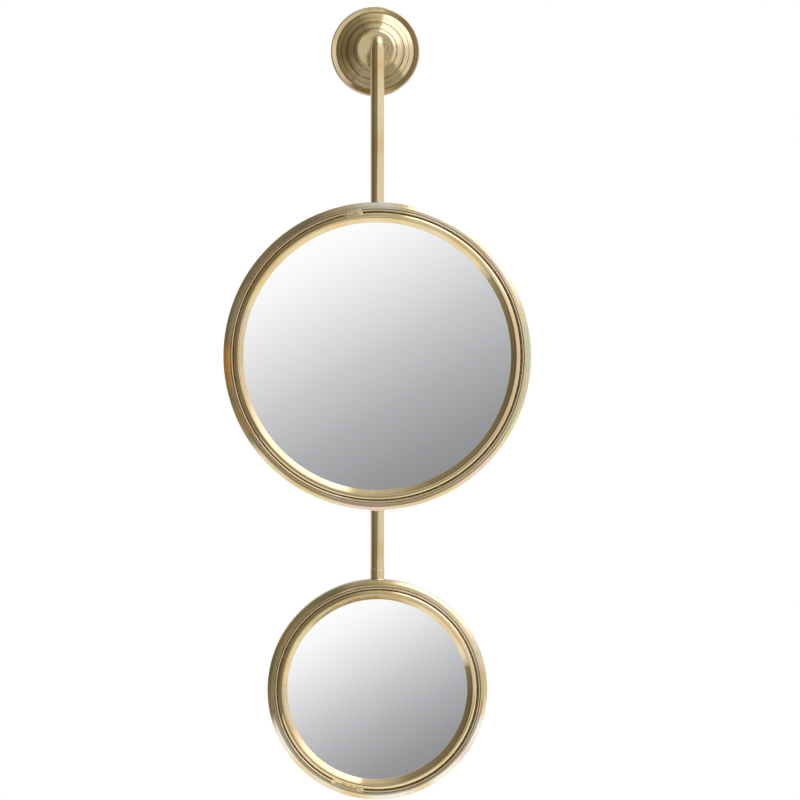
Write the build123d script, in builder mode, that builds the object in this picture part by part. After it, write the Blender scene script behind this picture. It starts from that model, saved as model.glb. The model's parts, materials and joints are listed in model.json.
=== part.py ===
"""Extendable wall mirror: two round mirrors in brass frames, hung on a telescopic rod from a wall rose.

Millimetres. The wall is the plane Y = 0 with +Y into the wall, +Z is up, and the origin is the centre
of the rose on the wall. All round frame parts are turned about lines parallel to Y, and the rod, its
tube and its swivels about one vertical line in front of the wall.
"""

import os

from build123d import *

# ---------------------------------------------------------------- driving dimensions
ROD_Y = -80.0  # depth of the vertical rod's axis, in front of the wall
LARGE_RADIUS = 140.0
SMALL_RADIUS = 100.0
LARGE_Z = -288.5  # height of the large mirror's centre
SMALL_Z = -592.0  # height of the small mirror's centre

FIT = 0.05  # radial clearance of a running fit, and gap between pieces that lie on each other
FACE_GAP = 0.1  # gap between flat faces that turn on each other
THREAD_GAP = 0.02  # gap drawn between a screw and its own nut or thread

# Wall plate and rose; heights are measured from the wall
PLATE_RADIUS = 36.0
PLATE_THICKNESS = 3.5
WALL_SCREW_CIRCLE = 50.0
WALL_SCREW_HOLE_RADIUS = 2.25
ROSE_RADIUS = 41.8
ROSE_CAVITY_RADIUS = 36.3
HUB_BACK = 11.6
HUB_FRONT = 17.45
HUB_FLAT_RADIUS = 6.6
GRUB_SCREW_RADIUS = 1.5
GRUB_SCREW_HEIGHT = 2.0
GRUB_SCREW_ANGLES = (240, 300)

# Arm
ROD_RADIUS = 5.4
ELBOW_BEND = 6.0
ROD_END_Z = -130.0
SPIGOT_RADIUS = 4.0
SPIGOT_END = 4.0
SHOULDER = 18.55
GROOVE_WIDTH = 3.4
GROOVE_DEPTH = 1.2

# Telescopic tube
TUBE_RADIUS = 6.2
TUBE_TOP_Z = -6.3
CLAMP_Z = -18.0
TRAVEL = 80.0
CLAMP_THREAD_RADIUS = 1.5
CLAMP_BOSS_RADIUS = 4.0
CLAMP_BOSS_END = 9.2  # distance from the rod's axis
CLAMP_HEAD_RADIUS = 5.0
CLAMP_HEAD_LENGTH = 5.0
CLAMP_KNURLS = 20
PLUG_LENGTH = 12.0

# Swivels
SEAT_DEPTH = 0.2  # flat cut into a frame's edge under a rod
SWIVEL_WASHER = 1.0
SHOULDER_RADIUS = 2.5
SWIVEL_THREAD_RADIUS = 2.0
WAVE_WASHER = 0.5
SCREW_HEAD_FLATS = 7.0
SCREW_HEAD_HEIGHT = 2.6
ROD_NUT_FLATS = 8.0
ROD_NUT_HEIGHT = 2.7
SOCKET_RADIUS = 6.4
SOCKET_LENGTH = 8.6

# Frame section: offsets run inwards from the frame's outer radius, depths run from the rod's axis
# towards the wall
WALL = 3.0
LEG = (8.9, 12.9)
LEG_END = 4.2
BEAD_OFFSET = 7.5
BEAD_WIRE_RADIUS = 0.8
LEDGE = -7.7
GLASS_OFFSET = 13.2
GLASS_FRONT = -2.85
GLASS_THICKNESS = 4.0
BACK_PLATE_THICKNESS = 1.2
BACK_SCREW_OFFSET = 10.9
BACK_SCREW_RADIUS = 1.2
BACK_SCREW_HEAD_RADIUS = 2.4
BACK_SCREW_HEAD = 1.5
BACK_SCREW_END = -1.8

os.makedirs("parts", exist_ok=True)


# ---------------------------------------------------------------- helpers
def save(builder, name):
    """Label a finished piece and write it as its own STEP file."""
    builder.part.label = name
    export_step(builder.part, f"parts/{name}.step")


def wall_section():
    """Sketch plane for turned pieces on the rose's axis: x is the radius, y the height from the wall."""
    return Plane(origin=(0, 0, 0), x_dir=(0, 0, 1), z_dir=(1, 0, 0))


def frame_section(centre_z):
    """Sketch plane for a mirror frame: x is the radius, y the depth behind the rod's axis."""
    return Plane(origin=(0, ROD_Y, centre_z), x_dir=(0, 0, 1), z_dir=(-1, 0, 0))


def frame_axis(centre_z):
    """Axis of a mirror frame."""
    return Axis((0, ROD_Y, centre_z), (0, 1, 0))


def inwards(outer_radius, *points):
    """Turn (offset inwards, depth) points into (radius, depth) points of a frame section."""
    return [(outer_radius - offset, depth) for offset, depth in points]


def rod_plane(height):
    """Horizontal plane whose origin is on the rod's axis."""
    return Plane(origin=(0, ROD_Y, height))


def depth_plane(centre_z, depth):
    """Plane parallel to the wall at a depth behind the rod's axis, facing the wall."""
    return Plane(origin=(0, ROD_Y + depth, centre_z), x_dir=(-1, 0, 0), z_dir=(0, 1, 0))


def height_plane(height):
    """Plane parallel to the wall at a height from it, facing the room."""
    return Plane(origin=(0, -height, 0), x_dir=(1, 0, 0), z_dir=(0, -1, 0))


def washer(name, plane, inner_radius, outer_radius, thickness):
    """Flat ring that starts on the plane and grows along its normal."""
    with BuildPart() as ring:
        with BuildSketch(plane):
            Circle(outer_radius)
            Circle(inner_radius, mode=Mode.SUBTRACT)
        extrude(amount=thickness)
    save(ring, name)


def wave_washer(name, plane, inner_radius, outer_radius, thickness):
    """Thin spring ring with a split, drawn flat as it is when the joint is tightened."""
    with BuildPart() as ring:
        with BuildSketch(plane):
            Circle(outer_radius)
            Circle(inner_radius, mode=Mode.SUBTRACT)
            with Locations(((inner_radius + outer_radius) / 2, 0)):
                Rectangle(outer_radius, thickness, mode=Mode.SUBTRACT)
        extrude(amount=thickness)
    save(ring, name)


def hexagon_nut(name, plane, bore_radius, flats, height):
    """Plain hexagon nut with its corners along the plane's x direction."""
    with BuildPart() as nut:
        with BuildSketch(plane):
            RegularPolygon(flats / 2, 6, major_radius=False)
            Circle(bore_radius, mode=Mode.SUBTRACT)
        extrude(amount=height)
    save(nut, name)


# ---------------------------------------------------------------- wall plate and rose
def build_wall_plate():
    """Disc that is screwed to the wall and carries the rose."""
    with BuildPart() as plate:
        with BuildSketch(height_plane(0)):
            Circle(PLATE_RADIUS)
            with PolarLocations(WALL_SCREW_CIRCLE / 2, 3, start_angle=90):
                Circle(WALL_SCREW_HOLE_RADIUS, mode=Mode.SUBTRACT)
        extrude(amount=PLATE_THICKNESS)
        chamfer(plate.faces().sort_by(Axis.Y)[0].outer_wire().edges(), 0.4)
    save(plate, "wall_plate")


def build_rose():
    """Stepped cover with a raised rim and a nearly flat hub bored for the arm."""
    bore = SPIGOT_RADIUS + FIT
    with BuildPart() as rose:
        with BuildSketch(wall_section()):
            with BuildLine():
                # inside of the shell, from the hub out to the wall
                Polyline(
                    (bore, HUB_FRONT),
                    (bore, HUB_BACK),
                    (12.0, HUB_BACK),
                    (18.0, 12.4),
                    (25.0, 9.6),
                    (30.5, 6.6),
                    (ROSE_CAVITY_RADIUS, 4.0),
                    (ROSE_CAVITY_RADIUS, 0.0),
                    (ROSE_RADIUS, 0.0),
                    (ROSE_RADIUS, 6.0),
                )
                # rounded lip and the shallow cove inside it
                ThreePointArc((ROSE_RADIUS, 6.0), (41.5, 6.7), (40.8, 6.95))
                ThreePointArc((40.8, 6.95), (38.7, 6.47), (36.7, 6.1))
                # first step: two crowned treads with a low riser between them
                Line((36.7, 6.1), (36.1, 6.2))
                ThreePointArc((36.1, 6.2), (34.0, 7.1), (31.9, 8.05))
                Polyline((31.9, 8.05), (31.45, 8.5), (31.2, 8.65))
                ThreePointArc((31.2, 8.65), (29.3, 9.5), (27.4, 10.4))
                # second step
                Polyline((27.4, 10.4), (27.0, 10.5), (26.2, 12.7), (25.2, 13.15), (24.9, 13.5), (24.7, 13.65))
                ThreePointArc((24.7, 13.65), (22.5, 14.65), (20.4, 15.7))
                # third step up to the nearly flat hub
                Polyline((20.4, 15.7), (20.0, 15.8), (19.5, 16.5), (17.6, 17.45))
                ThreePointArc((17.6, 17.45), (17.2, 17.6), (16.8, 17.64))
                ThreePointArc((16.8, 17.64), (11.7, 17.55), (HUB_FLAT_RADIUS, HUB_FRONT))
                Line((HUB_FLAT_RADIUS, HUB_FRONT), (bore, HUB_FRONT))
            make_face()
        revolve(axis=Axis.Y)
        for angle in GRUB_SCREW_ANGLES:
            with BuildSketch(grub_plane(angle)):
                Circle(GRUB_SCREW_RADIUS + THREAD_GAP)
            extrude(amount=ROSE_RADIUS, mode=Mode.SUBTRACT)
    save(rose, "rose")


def grub_plane(angle):
    """Plane across a grub screw where it touches the wall plate, facing outwards."""
    outwards = Vector(1, 0, 0).rotate(Axis((0, 0, 0), (0, -1, 0)), angle)
    start = outwards * (PLATE_RADIUS + FIT) + Vector(0, -GRUB_SCREW_HEIGHT, 0)
    return Plane(origin=start, x_dir=(0, 1, 0), z_dir=outwards)


def build_grub_screws():
    """Socket set screws that press on the wall plate's edge."""
    length = ROSE_RADIUS - PLATE_RADIUS - 1.0
    socket_radius = 0.75
    socket_depth = 1.8
    with BuildPart() as screws:
        for angle in GRUB_SCREW_ANGLES:
            with BuildSketch(grub_plane(angle)):
                Circle(GRUB_SCREW_RADIUS)
            extrude(amount=length)
            with BuildSketch(grub_plane(angle).offset(length)):
                RegularPolygon(socket_radius, 6, major_radius=False)
            extrude(amount=-socket_depth, mode=Mode.SUBTRACT)
    save(screws, "rose_grub_screws")


# ---------------------------------------------------------------- arm
def build_elbow_arm():
    """Stub, tight elbow and inner rod in one bar, with a spigot for the hub and a groove at the back."""
    with BuildPart() as arm:
        with BuildLine() as path:
            FilletPolyline((0, -SHOULDER, 0), (0, ROD_Y, 0), (0, ROD_Y, ROD_END_Z), radius=ELBOW_BEND)
        with BuildSketch(height_plane(SHOULDER)):
            Circle(ROD_RADIUS)
        sweep(path=path.wires()[0])
        chamfer(arm.faces().sort_by(Axis.Z)[0].edges(), 0.5)
        with BuildSketch(height_plane(SPIGOT_END)):
            Circle(SPIGOT_RADIUS)
        extrude(amount=SHOULDER - SPIGOT_END)
        chamfer(arm.faces().sort_by(Axis.Y)[-1].edges(), 0.5)
        # groove for the clamp screw: it keys the tube and stops it at both ends of its travel
        groove_end = GROOVE_WIDTH / 2
        with BuildSketch(Plane(origin=(0, ROD_Y + ROD_RADIUS, 0), x_dir=(-1, 0, 0), z_dir=(0, 1, 0))):
            with Locations((0, CLAMP_Z - TRAVEL / 2)):
                SlotOverall(TRAVEL + 2 * groove_end, GROOVE_WIDTH, rotation=90)
        extrude(amount=-GROOVE_DEPTH, mode=Mode.SUBTRACT)
    save(arm, "elbow_arm")


def build_pivot_hardware():
    """Washers and nut that hold the arm's spigot in the rose's hub."""
    bore = SPIGOT_RADIUS + THREAD_GAP
    washer("pivot_front_washer", height_plane(HUB_FRONT + FACE_GAP), bore, 5.9, 0.95)
    washer("pivot_back_washer", height_plane(10.5), bore, 8.5, 1.0)
    wave_washer("pivot_wave_washer", height_plane(9.6), bore, 7.5, 0.8)
    hexagon_nut("pivot_nut", height_plane(4.5), bore, 13.0, 5.0)


# ---------------------------------------------------------------- telescopic tube
LARGE_TOP = LARGE_Z + LARGE_RADIUS
LARGE_SEAT = LARGE_TOP - SEAT_DEPTH
TUBE_END_Z = LARGE_SEAT + SWIVEL_WASHER + FACE_GAP


def build_extension_tube():
    """Tube that slides on the inner rod, with a threaded boss for the clamp screw at the back."""
    with BuildPart() as tube:
        with BuildSketch(rod_plane(TUBE_END_Z)):
            Circle(TUBE_RADIUS)
        extrude(amount=TUBE_TOP_Z - TUBE_END_Z)
        chamfer(tube.faces().sort_by(Axis.Z)[-1].edges(), 0.3)
        with BuildSketch(depth_plane(CLAMP_Z, 0)):
            Circle(CLAMP_BOSS_RADIUS)
        extrude(amount=CLAMP_BOSS_END)
        with BuildSketch(rod_plane(TUBE_END_Z)):
            Circle(ROD_RADIUS + FIT)
        extrude(amount=TUBE_TOP_Z - TUBE_END_Z, mode=Mode.SUBTRACT)
        with BuildSketch(depth_plane(CLAMP_Z, 0)):
            Circle(CLAMP_THREAD_RADIUS)
        extrude(amount=CLAMP_BOSS_END, mode=Mode.SUBTRACT)
    save(tube, "extension_tube")


def build_clamp_screw():
    """Knurled screw whose tip runs in the rod's groove."""
    tip = ROD_RADIUS - GROOVE_DEPTH + 0.2
    head_start = CLAMP_BOSS_END + 0.3
    head_end = head_start + CLAMP_HEAD_LENGTH
    knurl_radius = 0.45
    with BuildPart() as screw:
        with BuildSketch(depth_plane(CLAMP_Z, tip)):
            Circle(CLAMP_THREAD_RADIUS - FIT)
        extrude(amount=head_start - tip)
        with BuildSketch(depth_plane(CLAMP_Z, head_start)):
            Circle(CLAMP_HEAD_RADIUS)
        extrude(amount=CLAMP_HEAD_LENGTH)
        chamfer(screw.faces().sort_by(Axis.Y)[-1].edges(), 0.6)
        with BuildSketch(depth_plane(CLAMP_Z, head_end)):
            with PolarLocations(CLAMP_HEAD_RADIUS + 0.1, CLAMP_KNURLS):
                Circle(knurl_radius)
        extrude(amount=-CLAMP_HEAD_LENGTH, mode=Mode.SUBTRACT)
    save(screw, "clamp_screw")


def build_tube_end_plug():
    """Threaded plug brazed into the tube's lower end."""
    with BuildPart() as plug:
        with BuildSketch(rod_plane(TUBE_END_Z)):
            Circle(ROD_RADIUS + FIT - THREAD_GAP)
            Circle(SWIVEL_THREAD_RADIUS, mode=Mode.SUBTRACT)
        extrude(amount=PLUG_LENGTH)
        chamfer(plug.faces().sort_by(Axis.Z)[-1].outer_wire().edges(), 0.5)
    save(plug, "tube_end_plug")


# ---------------------------------------------------------------- swivels
def swivel_screw(name, head_top, shoulder_top, thread_top):
    """Shoulder screw standing on its hexagon head, put in from inside a frame's channel."""
    with BuildPart() as screw:
        with BuildSketch(rod_plane(head_top - SCREW_HEAD_HEIGHT)):
            RegularPolygon(SCREW_HEAD_FLATS / 2, 6, major_radius=False)
        extrude(amount=SCREW_HEAD_HEIGHT)
        with BuildSketch(rod_plane(head_top)):
            Circle(SHOULDER_RADIUS)
        extrude(amount=shoulder_top - head_top)
        with BuildSketch(rod_plane(shoulder_top)):
            Circle(SWIVEL_THREAD_RADIUS - THREAD_GAP)
        extrude(amount=thread_top - shoulder_top)
        chamfer(screw.faces().sort_by(Axis.Z)[-1].edges(), 0.4)
    save(screw, name)


def build_upper_swivel():
    """Swivel between the tube and the large frame; the screw turns with the tube."""
    washer("upper_swivel_washer", rod_plane(LARGE_SEAT), SHOULDER_RADIUS + FIT, TUBE_RADIUS, SWIVEL_WASHER)
    wall_inside = LARGE_TOP - WALL
    washer_z = wall_inside - FACE_GAP - WAVE_WASHER
    wave_washer("upper_wave_washer", rod_plane(washer_z), SHOULDER_RADIUS + FIT, 4.2, WAVE_WASHER)
    swivel_screw("upper_swivel_screw", washer_z - FIT, TUBE_END_Z - THREAD_GAP, TUBE_END_Z + 10.0)


LARGE_BOTTOM_SEAT = LARGE_Z - LARGE_RADIUS + SEAT_DEPTH
SMALL_TOP = SMALL_Z + SMALL_RADIUS
SMALL_SEAT = SMALL_TOP - SEAT_DEPTH
SOCKET_TOP = SMALL_SEAT + THREAD_GAP + SOCKET_LENGTH
LOWER_ROD_END = SOCKET_TOP + THREAD_GAP + SWIVEL_WASHER + FACE_GAP


def build_lower_rod():
    """Short rod under the large frame: threaded spigot on top, threaded hole in its lower end."""
    shoulder = LARGE_BOTTOM_SEAT - THREAD_GAP
    spigot_length = 7.0
    thread_depth = 15.0
    with BuildPart() as rod:
        with BuildSketch(rod_plane(LOWER_ROD_END)):
            Circle(TUBE_RADIUS)
        extrude(amount=shoulder - LOWER_ROD_END)
        with BuildSketch(rod_plane(shoulder)):
            Circle(SHOULDER_RADIUS)
        extrude(amount=spigot_length)
        chamfer(rod.faces().sort_by(Axis.Z)[-1].edges(), 0.4)
        with BuildSketch(rod_plane(LOWER_ROD_END)):
            Circle(SWIVEL_THREAD_RADIUS)
        extrude(amount=thread_depth, mode=Mode.SUBTRACT)
    save(rod, "lower_rod")
    nut_z = LARGE_Z - LARGE_RADIUS + WALL + FACE_GAP
    bore = SHOULDER_RADIUS + THREAD_GAP
    hexagon_nut("lower_rod_nut", rod_plane(nut_z), bore, ROD_NUT_FLATS, ROD_NUT_HEIGHT)


def build_lower_swivel():
    """Swivel between the lower rod and the small frame; the screw turns with the rod."""
    with BuildPart() as socket:
        with BuildSketch(rod_plane(SMALL_SEAT + THREAD_GAP)):
            Circle(SOCKET_RADIUS)
            Circle(SHOULDER_RADIUS + FIT, mode=Mode.SUBTRACT)
        extrude(amount=SOCKET_LENGTH)
        chamfer(socket.faces().sort_by(Axis.Z)[-1].outer_wire().edges(), 0.3)
    save(socket, "swivel_socket")
    washer_z = SOCKET_TOP + THREAD_GAP
    bore = SHOULDER_RADIUS + FIT
    washer("lower_swivel_washer", rod_plane(washer_z), bore, SOCKET_RADIUS, SWIVEL_WASHER)
    wave_z = SMALL_TOP - WALL - FACE_GAP - WAVE_WASHER
    wave_washer("lower_wave_washer", rod_plane(wave_z), bore, 4.2, WAVE_WASHER)
    swivel_screw("lower_swivel_screw", wave_z - FIT, LOWER_ROD_END - THREAD_GAP, LOWER_ROD_END + 12.0)


# ---------------------------------------------------------------- mirrors
def build_frame_ring(name, radius, centre_z, rod_sides):
    """Outer band of a frame, with a flat seat and a hole at each side where a rod meets it."""
    with BuildPart() as ring:
        with BuildSketch(frame_section(centre_z)):
            corner_start, corner_mid, corner_end = inwards(radius, (0, -6.0), (0.25, -6.85), (0.9, -7.3))
            band_mid, band_end = inwards(radius, (3.3, -8.65), (6.0, -9.2))
            back, inside = inwards(radius, (0, 7.4), (WALL, 7.4))
            step = inwards(radius, (WALL, -5.9), (8.0, -5.9), (8.0, -6.9), (6.0, -6.9))
            with BuildLine():
                Polyline(corner_start, back, inside, *step, band_end)
                ThreePointArc(band_end, band_mid, corner_end)
                ThreePointArc(corner_end, corner_mid, corner_start)
            make_face()
        revolve(axis=frame_axis(centre_z))
        for side in rod_sides:
            seat = centre_z + side * (radius - SEAT_DEPTH)
            direction = Plane(origin=(0, ROD_Y, seat), x_dir=(1, 0, 0), z_dir=(0, 0, side))
            with BuildSketch(direction):
                Circle(TUBE_RADIUS + 0.4)
            extrude(amount=1.0, mode=Mode.SUBTRACT)
            with BuildSketch(direction):
                Circle(SHOULDER_RADIUS + FIT)
            extrude(amount=-2 * WALL, mode=Mode.SUBTRACT)
    save(ring, name)


def build_bead_ring(name, radius, centre_z):
    """Thin wire ring lying in the groove between the band and the bezel."""
    with BuildPart() as bead:
        with BuildSketch(frame_section(centre_z)):
            with Locations((radius - BEAD_OFFSET, LEDGE - BEAD_WIRE_RADIUS - THREAD_GAP)):
                Circle(BEAD_WIRE_RADIUS)
        revolve(axis=frame_axis(centre_z))
    save(bead, name)


def build_bezel(name, radius, centre_z, screw_count, first_angle):
    """Inner ring: ledge for the wire, broad bead, lip in front of the glass, and a leg for the back."""
    ledge = inwards(radius, (9.1, LEDGE), (6.5, LEDGE), (6.5, -6.95), (LEG[0], -6.95))
    leg = inwards(radius, (LEG[0], LEG_END), (LEG[1], LEG_END), (LEG[1], -2.9))
    lip = inwards(radius, (18.0, -2.9), (18.0, -3.6), (14.2, -7.05), (13.75, -8.6), (13.65, -9.1))
    crown, shoulder = inwards(radius, (13.35, -9.42), (12.9, -9.5))
    flank, bead_end = inwards(radius, (10.95, -8.98), (9.35, -8.05))
    with BuildPart() as bezel:
        with BuildSketch(frame_section(centre_z)):
            with BuildLine():
                Polyline(bead_end, *ledge, *leg, *lip)
                ThreePointArc(lip[-1], crown, shoulder)
                ThreePointArc(shoulder, flank, bead_end)
            make_face()
        revolve(axis=frame_axis(centre_z))
        with BuildSketch(depth_plane(centre_z, LEG_END)):
            with PolarLocations(radius - BACK_SCREW_OFFSET, screw_count, start_angle=first_angle):
                Circle(BACK_SCREW_RADIUS + FIT)
        extrude(amount=BACK_SCREW_END - LEG_END - 1.0, mode=Mode.SUBTRACT)
    save(bezel, name)


def build_disc(name, radius, centre_z, depth, thickness):
    """Round plate parallel to the wall, with its edges just broken."""
    with BuildPart() as disc:
        with BuildSketch(depth_plane(centre_z, depth)):
            Circle(radius)
        extrude(amount=thickness)
        chamfer(disc.edges(), 0.4)
    save(disc, name)


def build_back_plate(name, radius, centre_z, screw_count, first_angle):
    """Sheet that closes the frame's back, inside the outer band."""
    with BuildPart() as plate:
        with BuildSketch(depth_plane(centre_z, LEG_END + FIT)):
            Circle(radius - WALL - 0.4)
            with PolarLocations(radius - BACK_SCREW_OFFSET, screw_count, start_angle=first_angle):
                Circle(BACK_SCREW_RADIUS + 0.2, mode=Mode.SUBTRACT)
        extrude(amount=BACK_PLATE_THICKNESS)
    save(plate, name)


def build_back_screws(name, radius, centre_z, screw_count, first_angle):
    """Slotted round-head screws that hold the back plate on the bezel's leg."""
    head_base = LEG_END + FIT + BACK_PLATE_THICKNESS + THREAD_GAP
    slot_width = 0.7
    slot_depth = 0.7
    with BuildPart() as screws:
        with BuildSketch(depth_plane(centre_z, BACK_SCREW_END)):
            with PolarLocations(radius - BACK_SCREW_OFFSET, screw_count, start_angle=first_angle):
                Circle(BACK_SCREW_RADIUS)
        extrude(amount=head_base - BACK_SCREW_END)
        with BuildSketch(depth_plane(centre_z, head_base)):
            with PolarLocations(radius - BACK_SCREW_OFFSET, screw_count, start_angle=first_angle):
                Circle(BACK_SCREW_HEAD_RADIUS)
        extrude(amount=BACK_SCREW_HEAD)
        outer_faces = screws.faces().group_by(Axis.Y)[-1]
        fillet(outer_faces.edges(), 0.8)
        with BuildSketch(depth_plane(centre_z, head_base + BACK_SCREW_HEAD)):
            with PolarLocations(radius - BACK_SCREW_OFFSET, screw_count, start_angle=first_angle):
                Rectangle(2 * BACK_SCREW_HEAD_RADIUS + 1.0, slot_width)
        extrude(amount=-slot_depth, mode=Mode.SUBTRACT)
    save(screws, name)


def build_mirror(prefix, radius, centre_z, rod_sides, screw_count, first_angle):
    """All the pieces of one framed mirror."""
    screws = (screw_count, first_angle)
    build_frame_ring(f"{prefix}_frame_ring", radius, centre_z, rod_sides)
    build_bead_ring(f"{prefix}_bead_ring", radius, centre_z)
    build_bezel(f"{prefix}_bezel", radius, centre_z, *screws)
    glass_back = GLASS_FRONT + GLASS_THICKNESS
    pad_depth = glass_back + FIT
    build_disc(f"{prefix}_glass", radius - GLASS_OFFSET, centre_z, GLASS_FRONT, GLASS_THICKNESS)
    build_disc(f"{prefix}_backing_pad", radius - GLASS_OFFSET, centre_z, pad_depth, LEG_END - pad_depth)
    build_back_plate(f"{prefix}_back_plate", radius, centre_z, *screws)
    build_back_screws(f"{prefix}_back_screws", radius, centre_z, *screws)


build_wall_plate()
build_rose()
build_grub_screws()
build_elbow_arm()
build_pivot_hardware()
build_extension_tube()
build_clamp_screw()
build_tube_end_plug()
build_upper_swivel()
build_lower_rod()
build_lower_swivel()
build_mirror("large", LARGE_RADIUS, LARGE_Z, rod_sides=(1, -1), screw_count=6, first_angle=0)
build_mirror("small", SMALL_RADIUS, SMALL_Z, rod_sides=(1,), screw_count=4, first_angle=45)
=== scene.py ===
"""Looks of the extendable wall mirror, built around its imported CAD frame.

Everything is in the row frame: +X right, +Y into the wall, +Z up, origin at the rose's centre on the
wall. Sizes of pieces are in millimetres and the stage is in metres. Places come from the CAD nodes'
boxes. Turned pieces are lathed again at a finer mesh on the CAD's own centres and radii.
"""

import json
import math
import random

import bmesh
import bpy
from mathutils import Matrix, Vector, noise


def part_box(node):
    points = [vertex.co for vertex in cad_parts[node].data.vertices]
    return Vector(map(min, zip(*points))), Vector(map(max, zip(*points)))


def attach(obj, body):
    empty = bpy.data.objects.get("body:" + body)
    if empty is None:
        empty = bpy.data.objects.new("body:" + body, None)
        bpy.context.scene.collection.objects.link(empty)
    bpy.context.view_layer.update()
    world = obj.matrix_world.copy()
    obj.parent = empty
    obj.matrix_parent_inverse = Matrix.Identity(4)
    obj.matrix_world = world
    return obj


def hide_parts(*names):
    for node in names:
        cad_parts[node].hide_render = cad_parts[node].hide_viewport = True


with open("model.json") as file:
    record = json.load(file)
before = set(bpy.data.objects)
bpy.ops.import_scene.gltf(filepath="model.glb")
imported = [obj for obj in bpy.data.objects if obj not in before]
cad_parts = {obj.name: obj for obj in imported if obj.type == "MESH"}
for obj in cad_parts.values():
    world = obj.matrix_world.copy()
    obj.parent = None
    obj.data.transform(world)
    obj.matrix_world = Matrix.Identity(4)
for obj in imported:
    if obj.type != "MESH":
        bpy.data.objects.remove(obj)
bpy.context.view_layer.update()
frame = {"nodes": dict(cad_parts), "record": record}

MM = 0.001
SMOOTH_ANGLE = math.radians(32)
ON_AXIS = 1e-6  # radius below which an outline point lies on its axis


# ---- places taken from the CAD frame
def box_mm(node):
    """Lowest and highest corner of a CAD node in millimetres."""
    low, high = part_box(node)
    return Vector(low) / MM, Vector(high) / MM


def middle(node):
    """Centre of a CAD node's box in millimetres."""
    low, high = box_mm(node)
    return (low + high) / 2


def half_width(node):
    """Half of a CAD node's width along X: its outer radius if it is round."""
    low, high = box_mm(node)
    return (high.x - low.x) / 2


ROD_Y = middle("lower_rod").y
ROD_AXIS = Vector((0, ROD_Y, 0))
ROD_RADIUS = half_width("elbow_arm")
TUBE_RADIUS = half_width("extension_tube")
ROSE_RADIUS = half_width("rose")
THREAD_RADIUS = 2.5
SWIVEL_BORE = 2.55
OPENING = 18.0  # how far a bezel's opening lies inwards of its frame's edge
FRONT_LIMIT = -9.49  # depth from the rod's axis that nothing on a frame's front passes
MIRRORS = {
    prefix: {
        "radius": half_width(f"{prefix}_frame_ring"), "z": middle(f"{prefix}_glass").z,
        "segments": segments, "screws": screws, "first_screw": first_screw,
    }
    for prefix, segments, screws, first_screw in (("large", 512, 6, 0), ("small", 448, 4, 45))
}


# ---- outlines
def arc(start, through, end, steps):
    """Points of the circle arc from start over through to end, both ends included, as sharp corners."""
    (ax, ay), (bx, by), (cx, cy) = start, through, end
    d = 2 * (ax * (by - cy) + bx * (cy - ay) + cx * (ay - by))
    a2, b2, c2 = ax * ax + ay * ay, bx * bx + by * by, cx * cx + cy * cy
    ox = (a2 * (by - cy) + b2 * (cy - ay) + c2 * (ay - by)) / d
    oy = (a2 * (cx - bx) + b2 * (ax - cx) + c2 * (bx - ax)) / d
    radius = math.hypot(ax - ox, ay - oy)
    first = math.atan2(ay - oy, ax - ox)
    sweep = math.atan2(cy - oy, cx - ox) - first
    turn = (bx - ax) * (cy - by) - (by - ay) * (cx - bx)
    if turn > 0 and sweep < 0:
        sweep += 2 * math.pi
    if turn < 0 and sweep > 0:
        sweep -= 2 * math.pi
    angles = [first + sweep * k / steps for k in range(steps + 1)]
    return [(ox + radius * math.cos(t), oy + radius * math.sin(t), 0) for t in angles]


def rounded(corners, steps=5):
    """Outline points from (x, y, rounding) corners; a corner with no rounding stays as it is."""
    outline = []
    for index, (x, y, rounding) in enumerate(corners):
        corner = Vector((x, y))
        if not rounding:
            outline.append(corner)
            continue
        before = Vector(corners[index - 1][:2]) - corner
        after = Vector(corners[(index + 1) % len(corners)][:2]) - corner
        reach = rounding / math.tan(before.angle(after) / 2)
        reach = min(reach, 0.48 * before.length, 0.48 * after.length)
        start = corner + before.normalized() * reach
        end = corner + after.normalized() * reach
        for k in range(steps + 1):
            t = k / steps
            outline.append(start * (1 - t) ** 2 + corner * 2 * t * (1 - t) + end * t * t)
    return outline


def supported(outline):
    """Outline with extra points near its corners, so that the darkening of hollows (dirt and painted shade)
    and the paling of edges (rubbed wear and painted highlight) fade out within a millimetre.
    """
    first, second, long_edge = 0.35, 0.9, 2.4
    points = []
    for a, b in zip(outline, outline[1:] + outline[:1]):
        points.append(a)
        length = (b - a).length
        stops = []
        if length > long_edge:
            stops = [first, second, length - second, length - first]
        elif length > second:
            stops = [length / 3, 2 * length / 3]
        points.extend(a + (b - a) * (stop / length) for stop in stops)
    return points


def signed_area(outline):
    """Area of a closed outline, positive when it runs anticlockwise."""
    pairs = zip(outline, outline[1:] + outline[:1])
    return sum(a.x * b.y - b.x * a.y for a, b in pairs) / 2


def outline_normals(outline):
    """Outward normals at both ends of each outline edge; edges that meet smoothly share one."""
    count = len(outline)
    side = 1 if signed_area(outline) > 0 else -1
    edges = [outline[(i + 1) % count] - outline[i] for i in range(count)]
    flat = [Vector((e.y, -e.x)).normalized() * side for e in edges]
    shared = []
    for i in range(count):
        smooth = flat[i - 1].angle(flat[i], 0) < SMOOTH_ANGLE
        blend = (flat[i - 1] * edges[i - 1].length + flat[i] * edges[i].length).normalized()
        shared.append(blend if smooth else None)
    starts = [shared[i] or flat[i] for i in range(count)]
    ends = [shared[(i + 1) % count] or flat[i] for i in range(count)]
    return starts, ends


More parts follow.
